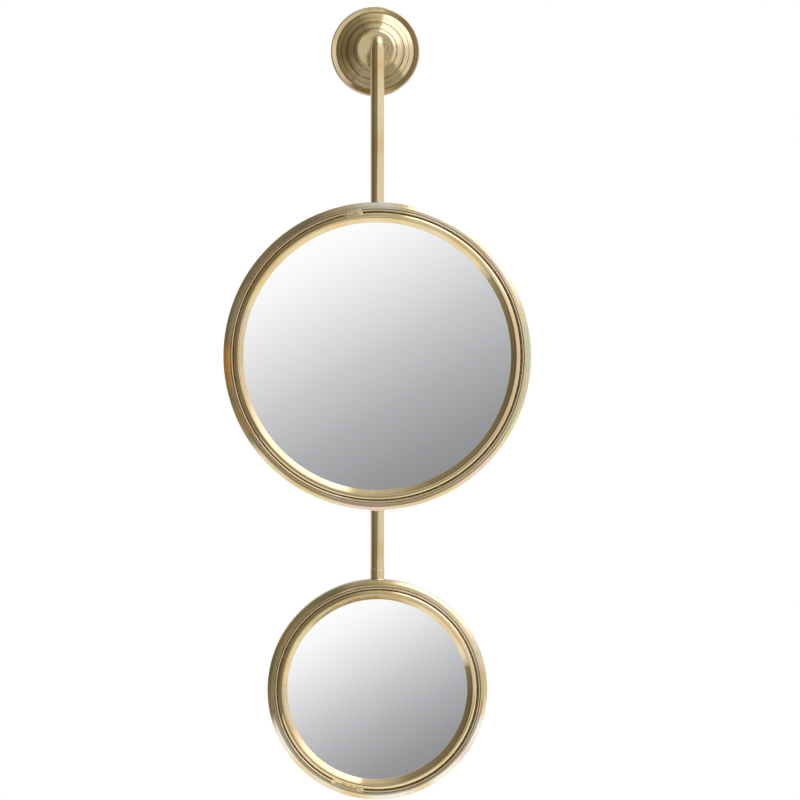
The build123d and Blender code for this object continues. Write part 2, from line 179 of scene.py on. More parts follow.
def outline_hollow_and_edge(outline, reach=0.4):
    """How much of a hollow and how much of an edge lies near each outline point, from 0 to 1."""
    gentle_turn, hollow_gain, full_edge_turn = 0.35, 2.2, 1.5
    count = len(outline)
    side = 1 if signed_area(outline) > 0 else -1
    turns = []
    for i in range(count):
        into = outline[i] - outline[i - 1]
        out = outline[(i + 1) % count] - outline[i]
        turns.append(-side * into.angle_signed(out, 0))
    dirt_and_light = []
    for point in outline:
        hollow = edge = 0.0
        for other, turn in zip(outline, turns):
            near = math.exp(-((point - other).length / reach) ** 2)
            if turn < 0:
                hollow -= turn * near
            else:
                edge += turn * near
        hollow = min(1.0, hollow_gain * max(0.0, hollow - gentle_turn))
        dirt_and_light.append((hollow, min(1.0, edge / full_edge_turn)))
    return dirt_and_light


# ---- meshes
def new_object(name, mesh):
    """Link a mesh to the scene as a new object at the origin."""
    made = bpy.data.objects.new(name, mesh)
    bpy.context.collection.objects.link(made)
    return made


def turned(name, corners, centre, axis="Y", segments=384, steps=5, shape=None, grime_and_shade=None):
    """Closed outline of (radius, along, rounding) corners turned about an axis through centre.

    The mesh keeps where each point lies round and along the outline, for the turning lines of the
    materials, and how much its hollows are darkened (dirt and painted shade) and its edges paled (rubbed
    wear and painted highlight). shape(turn, radius, along) may change the radius for knurling, and the last
    argument, given radius and along, says how much more dirt and painted shade lies there.
    """
    outline = supported(rounded(corners, steps))
    count = len(outline)
    starts, ends = outline_normals(outline)
    dirt_and_light = outline_hollow_and_edge(outline)
    travelled = [0.0]
    for a, b in zip(outline, outline[1:]):
        travelled.append(travelled[-1] + (b - a).length)
    right, wall, up = Vector((1, 0, 0)), Vector((0, 1, 0)), Vector((0, 0, 1))
    along, other = (wall, up) if axis == "Y" else (up, wall)
    flip = (signed_area(outline) < 0) != (axis == "Z")
    spokes = []
    for k in range(segments):
        turn = 2 * math.pi * k / segments
        spokes.append(right * math.cos(turn) + other * math.sin(turn))
    verts, turned_data, dirt_and_light_data, index = [], [], [], {}
    for k, spoke in enumerate(spokes):
        turn = 2 * math.pi * k / segments
        for i, point in enumerate(outline):
            if point.x < ON_AXIS and k:
                index[k, i] = index[0, i]
                continue
            radius = shape(turn, point.x, point.y) if shape else point.x
            index[k, i] = len(verts)
            verts.append((centre + spoke * radius + along * point.y) * MM)
            turned_data.extend((math.cos(turn), math.sin(turn), travelled[i] * MM))
            # Darkening share of each point: dirt and painted shade.
            dirt_and_shade = max(dirt_and_light[i][0], grime_and_shade(point.x, point.y)) if grime_and_shade else dirt_and_light[i][0]
            dirt_and_light_data.extend((dirt_and_shade, dirt_and_light[i][1], 0.0))
    faces, normals = [], []
    for k in range(segments):
        after = (k + 1) % segments
        for i in range(count):
            j = (i + 1) % count
            ring = [(k, i, starts[i]), (k, j, ends[i]), (after, j, ends[i]), (after, i, starts[i])]
            if outline[i].x < ON_AXIS and outline[j].x < ON_AXIS:
                continue
            if outline[i].x < ON_AXIS:
                ring.pop()
            elif outline[j].x < ON_AXIS:
                ring.pop(2)
            if flip:
                ring.reverse()
            faces.append([index[a, b] for a, b, _ in ring])
            normals.extend(spokes[a] * n.x + along * n.y for a, _, n in ring)
    mesh = bpy.data.meshes.new(name)
    mesh.from_pydata(verts, [], faces)
    for label, data in (("turned", turned_data), ("dirt_and_light", dirt_and_light_data)):
        attribute = mesh.attributes.new(label, "FLOAT_VECTOR", "POINT")
        attribute.data.foreach_set("vector", data)
    mesh.shade_smooth()
    if shape:
        mesh.set_sharp_from_angle(angle=SMOOTH_ANGLE)
    else:
        mesh.normals_split_custom_set(normals)
    return new_object(name, mesh)


def smooth_by_angle(made, angle=SMOOTH_ANGLE):
    """Smooth shading that keeps edges sharper than the angle."""
    made.data.shade_smooth()
    made.data.set_sharp_from_angle(angle=angle)


def object_from(name, grown):
    """New object from a bmesh with its faces turned outwards; the bmesh is freed."""
    bmesh.ops.recalc_face_normals(grown, faces=grown.faces)
    mesh = bpy.data.meshes.new(name)
    grown.to_mesh(mesh)
    grown.free()
    return new_object(name, mesh)


def prism(name, outline, low, high, place):
    """Closed prism over a plane outline, from low to high along its local z, put in place by a matrix."""
    grown = bmesh.new()
    floor = [grown.verts.new((x, y, low)) for x, y in outline]
    roof = [grown.verts.new((x, y, high)) for x, y in outline]
    grown.faces.new(floor[::-1])
    grown.faces.new(roof)
    for i in range(len(outline)):
        j = (i + 1) % len(outline)
        grown.faces.new((floor[i], floor[j], roof[j], roof[i]))
    bmesh.ops.scale(grown, vec=(MM, MM, MM), verts=grown.verts)
    bmesh.ops.transform(grown, matrix=place, verts=grown.verts)
    return object_from(name, grown)


def round_bar(name, rings, sides=96):
    """Closed round bar skinned over (place, direction, radius) rings."""
    side = Vector((1, 0, 0))
    grown = bmesh.new()
    loops = []
    for spot, way, radius in rings:
        other = Vector(way).cross(side)
        loop = []
        for k in range(sides):
            turn = 2 * math.pi * k / sides
            offset = side * math.cos(turn) + other * math.sin(turn)
            loop.append(grown.verts.new((Vector(spot) + offset * radius) * MM))
        loops.append(loop)
    for a, b in zip(loops, loops[1:]):
        for k in range(sides):
            j = (k + 1) % sides
            grown.faces.new((a[k], a[j], b[j], b[k]))
    grown.faces.new(loops[0][::-1])
    grown.faces.new(loops[-1])
    return object_from(name, grown)


def slot_outline(half, travel, steps=16):
    """Outline of a slot with round ends, whose centres lie at the origin and travel below it."""
    outline = []
    for first, drop in ((0.0, 0.0), (math.pi, travel)):
        for k in range(steps + 1):
            turn = first + math.pi * k / steps
            outline.append((half * math.cos(turn), half * math.sin(turn) - drop))
    return outline


def carve(made, cutter):
    """Cut the cutter out of a mesh for good and remove it."""
    modifier = made.modifiers.new("carve", "BOOLEAN")
    modifier.object = cutter
    modifier.operation = "DIFFERENCE"
    modifier.solver = "EXACT"
    seen = made.evaluated_get(bpy.context.evaluated_depsgraph_get())
    mesh = bpy.data.meshes.new_from_object(seen)
    made.modifiers.clear()
    made.data = mesh
    bpy.data.objects.remove(cutter)


def join(name, meshes):
    """One object from several meshes."""
    grown = bmesh.new()
    for mesh in meshes:
        grown.from_mesh(mesh)
    mesh = bpy.data.meshes.new(name)
    grown.to_mesh(mesh)
    grown.free()
    return new_object(name, mesh)


# ---- materials
def srgb(*values):
    """Linear colour from 0 to 255 display values."""
    linear = []
    for value in values:
        v = value / 255
        linear.append(v / 12.92 if v <= 0.04045 else ((v + 0.055) / 1.055) ** 2.4)
    return (*linear, 1.0)


class Nodes:
    """A node tree with short ways to add nodes."""

    def __init__(self, tree, output):
        self.tree = tree
        self.tree.nodes.clear()
        self.output = self.add(output)

    def add(self, kind, inputs=None, **settings):
        """Add a node; inputs are numbers, colours or another node's output."""
        made = self.tree.nodes.new(kind)
        for key, value in settings.items():
            setattr(made, key, value)
        for key, value in (inputs or {}).items():
            self.set(made, key, value)
        return made

    def show(self, node):
        """Use a node's shader as the surface."""
        self.tree.links.new(node.outputs[0], self.output.inputs["Surface"])

    def set(self, node, key, value):
        """Give a socket a value or a link."""
        if isinstance(value, bpy.types.NodeSocket):
            self.tree.links.new(value, node.inputs[key])
        else:
            node.inputs[key].default_value = value

    def split(self, vector):
        """The three parts of a vector."""
        return self.add("ShaderNodeSeparateXYZ", {0: vector}).outputs

    def math(self, operation, a, b=0.0, c=0.0):
        """One arithmetic step."""
        return self.add("ShaderNodeMath", {0: a, 1: b, 2: c}, operation=operation).outputs[0]

    def stretch(self, vector, scale):
        """A vector times a scale for each direction."""
        return self.add("ShaderNodeVectorMath", {0: vector, 1: scale}, operation="MULTIPLY").outputs[0]

    def noise(self, vector, scale, detail=3.0, roughness=0.55):
        """Noise from 0 to 1."""
        inputs = {"Vector": vector, "Scale": scale, "Detail": detail, "Roughness": roughness}
        return self.add("ShaderNodeTexNoise", inputs).outputs[0]

    def fit(self, value, low, high, to_low=0.0, to_high=1.0):
        """Map a range smoothly onto another and clamp it."""
        inputs = {0: value, 1: low, 2: high, 3: to_low, 4: to_high}
        return self.add("ShaderNodeMapRange", inputs, interpolation_type="SMOOTHSTEP").outputs[0]

    def ramp(self, value, stops):
        """Colour ramp from (position, colour) stops."""
        made = self.add("ShaderNodeValToRGB", {0: value})
        while len(made.color_ramp.elements) < len(stops):
            made.color_ramp.elements.new(1.0)
        for element, (position, colour) in zip(made.color_ramp.elements, stops):
            element.position = position
            element.color = colour
        return made.outputs[0]

    def mix(self, share, a, b):
        """Blend two colours."""
        return self.add("ShaderNodeMix", {0: share, 6: a, 7: b}, data_type="RGBA").outputs[2]

    def bump(self, height, distance, under=None):
        """Surface relief of a height in metres on top of another relief."""
        inputs = {"Height": height, "Distance": distance, "Strength": 1.0}
        if under:
            inputs["Normal"] = under
        return self.add("ShaderNodeBump", inputs).outputs[0]


class Shader(Nodes):
    """A material's node tree around one principled surface."""

    def __init__(self, name):
        self.material = bpy.data.materials.new(name)
        self.material.use_nodes = True
        super().__init__(self.material.node_tree, "ShaderNodeOutputMaterial")
        self.surface = self.add("ShaderNodeBsdfPrincipled")
        self.show(self.surface)
        self.place = self.add("ShaderNodeTexCoord").outputs["Object"]

    def attribute(self, name):
        """A vector kept in the mesh."""
        return self.add("ShaderNodeAttribute", attribute_name=name).outputs["Vector"]

    def finish(self, inputs):
        """Give sockets of the surface values or links, and return the material."""
        for key, value in inputs.items():
            self.set(self.surface, key, value)
        return self.material


PALE_BRASS = (0.77, 0.64, 0.385, 1)
BRASS = (0.74, 0.59, 0.31, 1)
DEEP_BRASS = (0.68, 0.515, 0.235, 1)
DULL_BRASS = (0.60, 0.475, 0.26, 1)
# Dark brown mixed into hollows: old polish dirt there, and painted shade.
CREVICE_DIRT_AND_SHADE = (0.17, 0.078, 0.017, 1)
COPPER_STAIN = (1.0, 0.53, 0.13, 1)
OLIVE_STAIN = (0.30, 0.25, 0.13, 1)
PINK_STAIN = (0.80, 0.56, 0.46, 1)
GREEN_STAIN = (0.58, 0.60, 0.36, 1)
# Pale colour mixed onto convex edges as rubbed wear and painted highlight, and onto patches of the bands as
# painted highlights of bright reflections.
PAINTED_HIGHLIGHT = (0.86, 0.82, 0.70, 1)


def drifting_tone(shader, round_piece, colours, mottle):
    """Slow drift between three tones, with pink and green casts, specks and lines of old polish."""
    place = shader.place
    drift = shader.noise(place, scale=26.0, detail=4.0, roughness=0.6)
    tone = shader.ramp(drift, list(zip((0.36, 0.5, 0.66), colours)))
    cast = shader.noise(place, scale=140.0, detail=4.0, roughness=0.65)
    tone = shader.mix(shader.fit(cast, 0.51, 0.62, to_high=mottle), tone, PINK_STAIN)
    tone = shader.mix(shader.fit(cast, 0.48, 0.37, to_high=mottle), tone, GREEN_STAIN)
    speck = shader.noise(place, scale=900.0, detail=5.0, roughness=0.65)
    tone = shader.mix(shader.fit(speck, 0.35, 0.75, to_high=0.16), tone, DEEP_BRASS)
    lines = shader.noise(shader.stretch(round_piece, (5.0, 5.0, 700.0)), scale=1.0, roughness=0.6)
    return shader.mix(shader.fit(lines, 0.5, 0.78, to_high=0.35), tone, DEEP_BRASS)


def ragged_place(shader, reach=0.03):
    """Place in the piece, shifted irregularly by some millimetres."""
    wander = shader.add("ShaderNodeTexNoise", {"Vector": shader.place, "Scale": 55.0, "Detail": 4.0})
    centred = shader.add("ShaderNodeVectorMath", {0: wander.outputs["Color"], 1: (-0.5, -0.5, -0.5)})
    shift = shader.stretch(centred.outputs[0], (reach, reach, reach))
    return shader.add("ShaderNodeVectorMath", {0: shader.place, 1: shift}).outputs[0]


def tone_with_stains_and_light(shader, tone, stains_and_light):
    """Tone with ragged patches over it, stains and painted highlights and shade alike, and how much patched
    and how coppery each place is.
    """
    patched = coppery = 0.0
    if not stains_and_light:
        return tone, patched, coppery
    ragged = ragged_place(shader)
    for centre, reach, colour, strength in stains_and_light:
        away = shader.add("ShaderNodeVectorMath", {0: ragged, 1: Vector(centre) * MM}, operation="DISTANCE")
        share = shader.fit(away.outputs["Value"], reach * MM, 0.25 * reach * MM, to_high=strength)
        tone = shader.mix(share, tone, colour)
        patched = shader.math("MAXIMUM", patched, share)
        if colour == COPPER_STAIN:
            coppery = shader.math("MAXIMUM", coppery, share)
    return tone, patched, coppery


def brass_relief(shader, round_piece, streak, strength, ripple):
    """Lumps of hand polishing, small pits and fine lines; ripples too where the piece was spun."""
    lump_height, pit_height, line_height = 0.00004, 0.000006, 0.0000022
    lumps = shader.noise(shader.place, scale=90.0, detail=2.0, roughness=0.5)
    pits = shader.noise(shader.place, scale=420.0, detail=3.0, roughness=0.5)
    lines = shader.noise(shader.stretch(round_piece, streak), scale=1.0, detail=2.0, roughness=0.6)
    relief = shader.bump(lumps, lump_height * strength)
    relief = shader.bump(pits, pit_height * strength, relief)
    relief = shader.bump(lines, line_height * strength, relief)
    if ripple:
        spun = shader.stretch(round_piece, (2.6, 2.6, 760.0))
        waves = shader.noise(spun, scale=1.0, detail=2.0, roughness=0.5)
        relief = shader.bump(waves, ripple, relief)
    return relief


def brass(name, colours=(DEEP_BRASS, BRASS, PALE_BRASS), roughness=0.12, streak=(2.0, 2.0, 2600.0),
          stains_and_light=(), relief=1.0, ripple=0.0, mottle=0.15):
    """Aged polished brass: slow drift between three tones, stains and painted light patches, hollows
    darkened by dirt and painted shade, edges paled by rubbed wear and painted highlight, turning lines.
    """
    shader = Shader(name)
    round_piece = shader.attribute("turned")
    tone = drifting_tone(shader, round_piece, colours, mottle)
    tone, patched, coppery = tone_with_stains_and_light(shader, tone, stains_and_light)
    # Hollows are painted dark brown, for old polish dirt and for painted shade; convex edges are painted
    # paler, for rubbed wear and for a painted highlight.
    hollow, edge, _ = shader.split(shader.attribute("dirt_and_light"))
    patchy = shader.fit(shader.noise(shader.place, scale=320.0, detail=4.0), 0.25, 0.6, 0.6, 1.0)
    dirt_and_shade = shader.math("MULTIPLY", hollow, patchy)
    tone = shader.mix(dirt_and_shade, tone, CREVICE_DIRT_AND_SHADE)
    tone = shader.mix(shader.math("MULTIPLY", edge, 0.35), tone, PAINTED_HIGHLIGHT)
    cloud = shader.noise(shader.place, scale=75.0, detail=6.0, roughness=0.65)
    rough = shader.fit(cloud, 0.3, 0.7, roughness * 0.75, roughness * 1.5)
    for share, extra in ((dirt_and_shade, 0.3), (patched, 0.06), (coppery, 0.3)):
        rough = shader.math("MULTIPLY_ADD", share, extra, rough)
    if relief:
        shader.finish({"Normal": brass_relief(shader, round_piece, streak, relief, ripple)})
    return shader.finish({"Base Color": tone, "Metallic": 1.0, "Roughness": rough})


def steel(name):
    """Zinc-plated steel with a mottled bloom."""
    dark, middling, light = (0.40, 0.40, 0.39, 1), (0.48, 0.48, 0.47, 1), (0.56, 0.56, 0.55, 1)
    grain_height = 0.000006
    shader = Shader(name)
    bloom = shader.noise(shader.place, scale=260.0, detail=5.0, roughness=0.6)
    tone = shader.ramp(bloom, [(0.3, dark), (0.6, middling), (0.8, light)])
    grain = shader.bump(shader.noise(shader.place, scale=1500.0), grain_height)
    rough = shader.fit(bloom, 0.3, 0.7, 0.22, 0.42)
    return shader.finish({"Base Color": tone, "Metallic": 1.0, "Roughness": rough, "Normal": grain})


def felt(name):
    """Dark pressed felt."""
    dark, light = (0.012, 0.013, 0.012, 1), (0.05, 0.055, 0.05, 1)
    hair_height = 0.0002
    shader = Shader(name)
    hair = shader.noise(shader.place, scale=1400.0, detail=6.0, roughness=0.7)
    tone = shader.ramp(hair, [(0.3, dark), (0.7, light)])
    nap = shader.bump(hair, hair_height)
    return shader.finish({"Base Color": tone, "Roughness": 0.95, "Sheen Weight": 0.4, "Normal": nap})


def silvered_glass(name):
    """Silvered mirror: very smooth, faint dust and a slight cool cast."""
    thin, thick = (0.93, 0.935, 0.94, 1), (0.945, 0.945, 0.95, 1)
    shader = Shader(name)
    dust = shader.noise(shader.place, scale=240.0, detail=8.0, roughness=0.7)
    film = shader.noise(shader.place, scale=9.0, detail=3.0, roughness=0.5)
    tone = shader.ramp(film, [(0.3, thin), (0.7, thick)])
    rough = shader.fit(dust, 0.4, 0.8, to_high=0.05)
    return shader.finish({"Base Color": tone, "Metallic": 1.0, "Roughness": rough})


# ---- pieces
def place_piece(made, body, slot, material, *nodes):
    """Give a finished piece its material and body, and hide the CAD nodes that it stands for; the slot is
    not used.
    """
    made.data.materials.clear()
    made.data.materials.append(material)
    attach(made, body)
    if nodes:
        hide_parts(*nodes)
    return made


def build_rose(material):
    """Stepped cover: raised rim with a cove inside, three stepped rings and a nearly flat hub."""
    bore, hub_front, hub_back, cavity = 4.06, 17.45, 11.6, 36.3
    feet = ((36.5, 0.5), (31.75, 0.25), (27.1, 0.6), (25.2, 0.25), (20.1, 0.6))
    front_starts = -5.5

    def at(radius, height, rounding=0.0):
        """Outline corner from a radius and a height above the wall."""
        return (radius, -height, rounding)

    def bow(start, through, end, steps=8):
        """Arc through three (radius, height) points."""
        return [at(radius, height) for radius, height, _ in arc(start, through, end, steps)]

    def grime_and_shade(radius, depth):
        """Old polish and painted shade at the feet of the steps, given as (radius, reach), on the front
        only.
        """
        if depth >= front_starts:
            return 0.0
        return max(math.exp(-((radius - foot) / reach) ** 2) for foot, reach in feet)

    inside = [
        at(bore, hub_front), at(bore, hub_back), at(12.0, hub_back, 0.5), at(18.0, 12.4, 1.0),
        at(25.0, 9.6), at(30.5, 6.6, 1.0), at(cavity, 4.0, 0.4), at(cavity, 0.0, 0.2),
    ]
    lip = [
        at(ROSE_RADIUS, 0.0, 0.3), at(ROSE_RADIUS, 6.7, 1.0),
        *bow((40.8, 6.93), (38.7, 6.47), (36.8, 6.1), 10), at(36.45, 6.08, 0.1),
    ]
    treads = [
        *bow((36.1, 6.2), (34.0, 7.1), (31.9, 8.05)), at(31.75, 8.13, 0.1), at(31.5, 8.5, 0.15),
        *bow((31.2, 8.65), (29.3, 9.5), (27.4, 10.4)), at(27.05, 10.5, 0.05), at(26.25, 12.65, 0.3),
        at(25.2, 13.13, 0.1), at(24.95, 13.5, 0.15),
        *bow((24.7, 13.64), (22.5, 14.65), (20.4, 15.7)), at(20.05, 15.78, 0.05), at(19.5, 16.5, 0.2),
    ]
    hub = [at(17.2, 17.62, 0.7), *bow((16.6, 17.63), (11.7, 17.55), (6.6, hub_front), 12)]
    rose = turned("rose_shell", inside + lip + treads + hub, Vector((0, 0, 0)), grime_and_shade=grime_and_shade)
    return place_piece(rose, "wall_mount", "brass_rose", material, "rose")


def arm_rings(start_y, end_z):
    """Rings along the arm's spigot, shoulder, elbow and inner rod, as (place, direction, radius)."""
    spigot_radius, shoulder, bend = 4.0, 18.55, 6.0
    end_chamfer, edge = 0.5, 0.3
    stub_steps, elbow_steps, rod_steps = 9, 24, 24
    out, down = (0, -1, 0), (0, 0, -1)
    face = -shoulder - edge
    bend_y = ROD_Y + bend
    rings = [
        ((0, start_y, 0), out, spigot_radius - end_chamfer),
        ((0, start_y - end_chamfer, 0), out, spigot_radius),
        ((0, -shoulder, 0), out, spigot_radius),
        ((0, -shoulder, 0), out, ROD_RADIUS - edge),
        ((0, face, 0), out, ROD_RADIUS),
    ]
    for k in range(1, stub_steps):
        rings.append(((0, face + (bend_y - face) * k / stub_steps, 0), out, ROD_RADIUS))
    for k in range(elbow_steps + 1):
        turn = math.pi / 2 * k / elbow_steps
        spot = (0, bend_y - bend * math.sin(turn), bend * math.cos(turn) - bend)
        rings.append((spot, (0, -math.cos(turn), -math.sin(turn)), ROD_RADIUS))
    for k in range(1, rod_steps + 1):
        z = -bend + (end_z + end_chamfer + bend) * k / rod_steps
        rings.append(((0, ROD_Y, z), down, ROD_RADIUS))
    rings.append(((0, ROD_Y, end_z), down, ROD_RADIUS - end_chamfer))
    return rings


def build_arm(material):
    """Stub with a threaded spigot, tight elbow and inner rod with the clamp groove at its back."""
    groove_half, groove_length, groove_depth = 1.7, 80.0, 1.2
    cutter_spare = 2.0
    low, high = box_mm("elbow_arm")
    arm = round_bar("arm_bar", arm_rings(high.y, low.z))
    into_wall = Matrix(((1, 0, 0), (0, 0, 1), (0, 1, 0))).to_4x4()
    put = Matrix.Translation(Vector((0, ROD_Y, middle("clamp_screw").z)) * MM) @ into_wall
    outline = slot_outline(groove_half, groove_length)
    floor, beyond = ROD_RADIUS - groove_depth, ROD_RADIUS + cutter_spare
    carve(arm, prism("groove_cutter", outline, floor, beyond, put))
    smooth_by_angle(arm)
    return place_piece(arm, "arm", "brass_rod", material, "elbow_arm")


def build_tube(material):
    """Sliding tube with a rolled top edge."""
    low, high = box_mm("extension_tube")
    inner = ROD_RADIUS + 0.05
    end_zone = 6.0
    corners = [
        (inner, low.z, 0.05), (TUBE_RADIUS, low.z, 0.2), (TUBE_RADIUS, low.z + end_zone, 0),
        (TUBE_RADIUS, high.z - end_zone, 0), (TUBE_RADIUS, high.z, 0.45), (inner, high.z, 0.12),
    ]
    tube = turned("tube_sleeve", corners, ROD_AXIS, "Z", segments=128, steps=6)
    return place_piece(tube, "extension", "brass_rod", material, "extension_tube")


def build_clamp_boss(material):
    """Boss of the clamp screw, brazed on the back of the tube."""
    bore, radius, foot = 1.5, 4.0, 5.6
    end = box_mm("extension_tube")[1].y - ROD_Y
    corners = [
        (bore, foot, 0), (5.6, 5.5, 0), (4.6, 6.3, 0.6), (radius, 7.2, 0.5),
        (radius, end, 0.35), (bore, end, 0.1),
    ]
    where = Vector((0, ROD_Y, middle("clamp_screw").z))
    boss = turned("clamp_boss", corners, where, segments=96)
    return place_piece(boss, "extension", "brass_rod", material)


def build_clamp_screw(material):
    """Thumbscrew with a diamond-knurled head that is slightly recessed at its end."""
    low, high = box_mm("clamp_screw")
    head, head_length = half_width("clamp_screw"), 5.0
    tip, start, end = low.y - ROD_Y, high.y - head_length - ROD_Y, high.y - ROD_Y
    shank, step, recess = 1.45, 0.05, 0.35
    knurls, knurl_depth, knurl_lean = 34, 0.32, 2.4
    lead_in, lead_out, row = 0.7, 0.9, 0.1

    def knurled(turn, radius, along):
        """Cut crossed helical grooves into the head's rim."""
        if radius < head - step or not start + lead_in < along < end - lead_out:
            return radius
        lean = (along - start) * knurl_lean / head
        waves = [math.cos(knurls * (turn + lean)), math.cos(knurls * (turn - lean))]
        return radius - knurl_depth * (0.5 - 0.5 * max(waves)) - 0.02

    rim = [(head, start + lead_in + row * k, 0) for k in range(35)]
    corners = [
        (0, tip, 0), (1.1, tip, 0), (shank, tip + 0.4, 0), (shank, start, 0),
        (head - 0.5, start, 0.1), (head - step, start + 0.45, 0.1), *rim, (head - step, end - 0.8, 0.1),
        (head - 0.75, end, 0.2), (2.6, end, 0.1), (2.4, end - recess, 0.1), (0, end - recess, 0),
    ]
    where = Vector((0, ROD_Y, middle("clamp_screw").z))
    screw = turned("clamp_thumbscrew", corners, where, segments=408, steps=3, shape=knurled)
    return place_piece(screw, "clamp_knob", "brass_rod", material, "clamp_screw")


def build_lower_rod(material):
    """Rod under the large frame, with a solder fillet at the frame and a threaded end inside it."""
    low, high = box_mm("lower_rod")
    edge = MIRRORS["large"]["z"] - MIRRORS["large"]["radius"]
    fillet = 0.7
    corners = [
        (0, low.z, 0), (TUBE_RADIUS, low.z, 0.3), (TUBE_RADIUS, low.z + 5.0, 0),
        (TUBE_RADIUS, edge - 1.0, 0.6), (TUBE_RADIUS + fillet, edge + 0.1, 0),
        (TUBE_RADIUS, edge + 0.3, 0), (THREAD_RADIUS, edge + 0.3, 0),
        (THREAD_RADIUS, high.z, 0.3), (0, high.z, 0),
    ]
    rod = turned("short_rod", corners, ROD_AXIS, "Z", segments=128)
    return place_piece(rod, "large_mirror", "brass_rod", material, "lower_rod")


def build_swivel_collar(material):
    """Collar on the small frame, with a solder fillet at its foot."""
    low, high = box_mm("swivel_socket")
    radius = half_width("swivel_socket")
    foot, fillet = low.z - 0.1, 0.8
    corners = [
        (SWIVEL_BORE, foot, 0), (radius, foot, 0), (radius + fillet, low.z + 0.1, 0),
        (radius, low.z + 1.1, 0.6), (radius, high.z, 0.4), (SWIVEL_BORE, high.z, 0.1),
    ]
    collar = turned("swivel_collar", corners, ROD_AXIS, "Z", segments=128)
    return place_piece(collar, "small_mirror", "brass_rod", material, "swivel_socket")


def build_swivel_washer(node, body, material):
    """Thin bright washer of a swivel."""
    low, high = box_mm(node)
    radius = half_width(node)
    corners = [
        (SWIVEL_BORE, low.z, 0), (radius, low.z, 0.25), (radius, high.z, 0.25), (SWIVEL_BORE, high.z, 0),
    ]
    ring = turned(f"{node}_ring", corners, ROD_AXIS, "Z", segments=128)
    return place_piece(ring, body, "brass_bead", material, node)


def mirror_centre(prefix):
    """Centre of a mirror, at the depth of the rod's axis."""
    return Vector((0, ROD_Y, MIRRORS[prefix]["z"]))


def turned_mirror(name, prefix, corners, grime_and_shade=None):
    """Turn corners about a mirror's axis, with depths from the rod's axis towards the wall."""
    return turned(name, corners, mirror_centre(prefix), segments=MIRRORS[prefix]["segments"], grime_and_shade=grime_and_shade)


def from_edge(prefix, corners):
    """Outline corners whose first number is an offset inwards of the frame's edge."""
    radius = MIRRORS[prefix]["radius"]
    return [(radius - offset, depth, rounding) for offset, depth, rounding in corners]


def build_band(prefix, material):
    """Outer band of a frame, with a shelf inside for the wire and the bezel."""
    back, shelf, groove = 7.4, -5.9, -6.9
    corners = [
        (0.0, back, 0.5), (3.0, back, 0.4), (3.0, shelf, 0), (8.0, shelf, 0), (8.0, groove, 0),
        (6.0, groove, 0), (6.0, -9.2, 0.3), *arc((5.7, -9.19), (3.3, -8.65), (0.9, -7.3), 12),
        *arc((0.7, -7.15), (0.2, -6.75), (0.0, -6.2), 5),
    ]
    band = turned_mirror(f"{prefix}_band", prefix, from_edge(prefix, corners))
    return place_piece(band, f"{prefix}_mirror", "brass_band", material, f"{prefix}_frame_ring")


def build_wire(prefix, material):
    """Bright wire ring in the groove between band and bezel, darker where it sinks in: dirt and painted
    shade.
    """
    offset, depth, radius, points = 7.5, -8.52, 0.8, 20
    darkening_from, fade = -8.8, 0.3
    turns = [2 * math.pi * k / points for k in range(points)]
    corners = [(offset + radius * math.cos(t), depth + radius * math.sin(t), 0) for t in turns]

    def grime_and_shade(_, spot_depth):
        """Dirt and painted shade that start a little below the wire's crown."""
        return max(0.0, min(1.0, (spot_depth - darkening_from) / fade))

    wire = turned_mirror(f"{prefix}_wire", prefix, from_edge(prefix, corners), grime_and_shade)
    return place_piece(wire, f"{prefix}_mirror", "brass_bead", material, f"{prefix}_bead_ring")


def build_bezel(prefix, material):
    """Inner ring: broad round bead, sloping lip over the glass and a skirt behind it."""
    back, tongue, skirt, seat, crown = 4.2, -6.95, 8.9, -2.9, -9.48
    groove_side = MIRRORS[prefix]["radius"] - 9.3
    corners = [
        (6.5, -7.7, 0), (6.5, tongue, 0), (skirt, tongue, 0), (skirt, back, 0.2), (12.9, back, 0.2),
        (12.9, seat, 0), (OPENING, seat, 0.1), (OPENING, -3.6, 0.25), (14.2, -7.05, 0.1),
        (13.75, -8.6, 0.2), (13.62, crown, 0.4), *arc((12.8, crown), (10.95, -8.98), (9.4, -8.08), 12),
        (9.2, -7.7, 0.1),
    ]

    def grime_and_shade(radius, depth):
        """Dirt and painted shade in the groove beside the wire."""
        return 1.0 if radius > groove_side and depth < -7.3 else 0.0

    bezel = turned_mirror(f"{prefix}_bezel_ring", prefix, from_edge(prefix, corners), grime_and_shade)
    return place_piece(bezel, f"{prefix}_mirror", "brass_bezel", material, f"{prefix}_bezel")


def build_pane(prefix, material):
    """Mirror glass with a narrow bevel."""
    low, high = box_mm(f"{prefix}_glass")
    edge = half_width(f"{prefix}_glass")
    front, back = low.y - ROD_Y, high.y - ROD_Y
    bevel = 1.5
    corners = [
        (0, front, 0), (edge - bevel, front, 0), (edge, front + 0.6, 0.2), (edge, back, 0.2), (0, back, 0),
    ]
    pane = turned_mirror(f"{prefix}_mirror_pane", prefix, corners)
    return place_piece(pane, f"{prefix}_mirror", "mirror_glass", material, f"{prefix}_glass")


